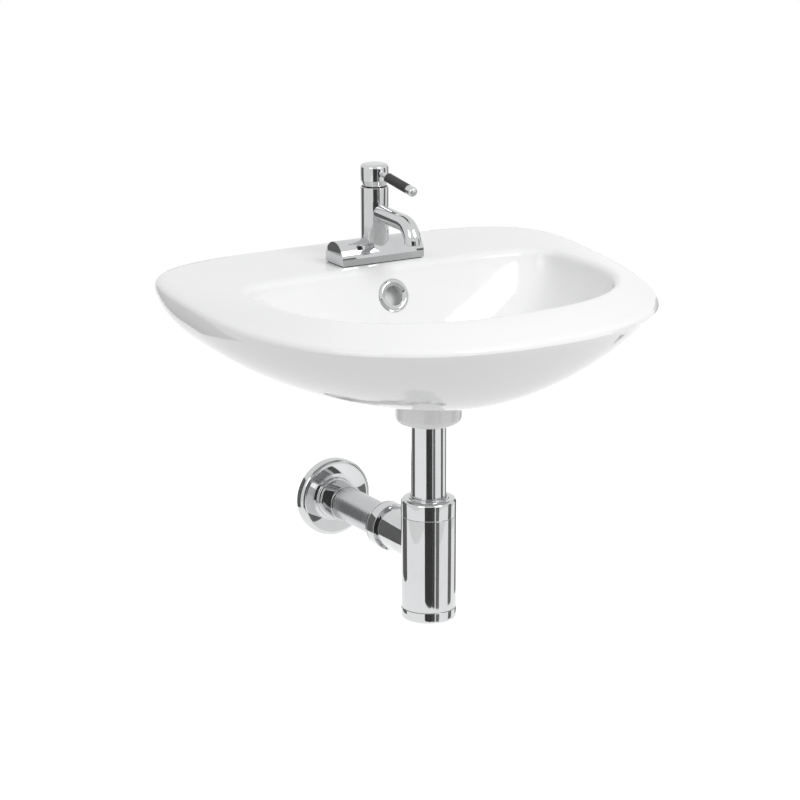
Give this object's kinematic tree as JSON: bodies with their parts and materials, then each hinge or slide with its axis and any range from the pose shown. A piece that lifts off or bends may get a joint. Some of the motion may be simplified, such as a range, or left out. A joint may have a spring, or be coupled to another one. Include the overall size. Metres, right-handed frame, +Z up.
{
  "type": "wall hung basin",
  "caption": "Wall hung ceramic basin with a lever mixer tap, overflow, press waste and a chromed bottle trap to the wall.",
  "frame": {"origin": "on the wall, midway between the two wall bolt holes of the basin", "axes": "+Z up, +Y into the wall, room and front of the basin at -Y, +X to the right as seen from the room"},
  "size_m": [0.5, 0.47, 0.4746],
  "materials": {
    "glazed_china": "glossy white glaze",
    "polished_chrome": "mirror",
    "satin_chrome": "satin",
    "black_knurled_grip": "knurled matt",
    "black_rubber": "matt",
    "brass": "machined",
    "zinc_steel": "zinc plated",
    "cartridge_plastic": "moulded",
    "aerator_plastic": "moulded"
  },
  "bodies": {
    "basin": {"basin_body": "glazed_china", "overflow_trim_ring": "polished_chrome", "tap_body": "polished_chrome", "tap_base_gasket": "black_rubber", "tap_fixing_stud": "zinc_steel", "tap_clamp_gasket": "black_rubber", "tap_clamp_plate": "zinc_steel", "tap_fixing_nut": "brass", "aerator": "aerator_plastic", "cartridge_housing": "cartridge_plastic", "cartridge_nut": "brass", "waste_body": "polished_chrome", "waste_top_seal": "black_rubber", "waste_bottom_seal": "black_rubber", "waste_backnut": "brass", "click_cartridge": "brass", "inlet_coupling_seal": "black_rubber", "inlet_coupling_nut": "polished_chrome", "inlet_tube": "polished_chrome", "trap_top_nut": "polished_chrome", "trap_inlet_seal": "black_rubber", "trap_body": "polished_chrome", "outlet_nut": "polished_chrome", "outlet_seal": "black_rubber", "waste_pipe": "satin_chrome"},
    "handle_swivel": {"cartridge_collar": "brass", "spindle_pivot_pin": "zinc_steel"},
    "handle": {"cartridge_spindle": "brass", "handle_cap": "polished_chrome", "handle_grub_screw": "zinc_steel", "lever_pin": "polished_chrome", "lever_sleeve": "black_knurled_grip", "lever_end_cap": "polished_chrome"},
    "plug": {"waste_plug": "polished_chrome", "plug_seal": "black_rubber"},
    "cup_thread": {"trap_cup_seal": "black_rubber"},
    "cup": {"trap_cup": "polished_chrome"},
    "rose": {"wall_rose": "polished_chrome"}
  },
  "joints": [
    {"name": "handle_swivel", "type": "hinge", "parent": "basin", "child": "handle_swivel", "pos_m": [0, -0.1, 0.134], "axis": [0, 0, 1], "range_deg": [-45, 45]},
    {"name": "handle_lift", "type": "hinge", "parent": "handle_swivel", "child": "handle", "pos_m": [0, -0.1, 0.134], "axis": [-1, 0, 0], "range_deg": [0, 18]},
    {"name": "plug_press", "type": "slide", "parent": "basin", "child": "plug", "axis": [0, 0, 1], "range_m": [-0.008, 0]},
    {"name": "cup_lower", "type": "slide", "parent": "basin", "child": "cup_thread", "axis": [0, 0, -1], "range_m": [0, 0.006]},
    {"name": "cup_turn", "type": "hinge", "parent": "cup_thread", "child": "cup", "pos_m": [0, -0.211, -0.314], "axis": [0, 0, -1], "range_deg": [0, 1080]},
    {"name": "rose_slide", "type": "slide", "parent": "basin", "child": "rose", "axis": [0, -1, 0], "range_m": [0, 0.08]}
  ],
  "couplings": [
    {"joint": "cup_lower", "follows": "cup_turn", "m_per_rad": 0.00031831}
  ]
}
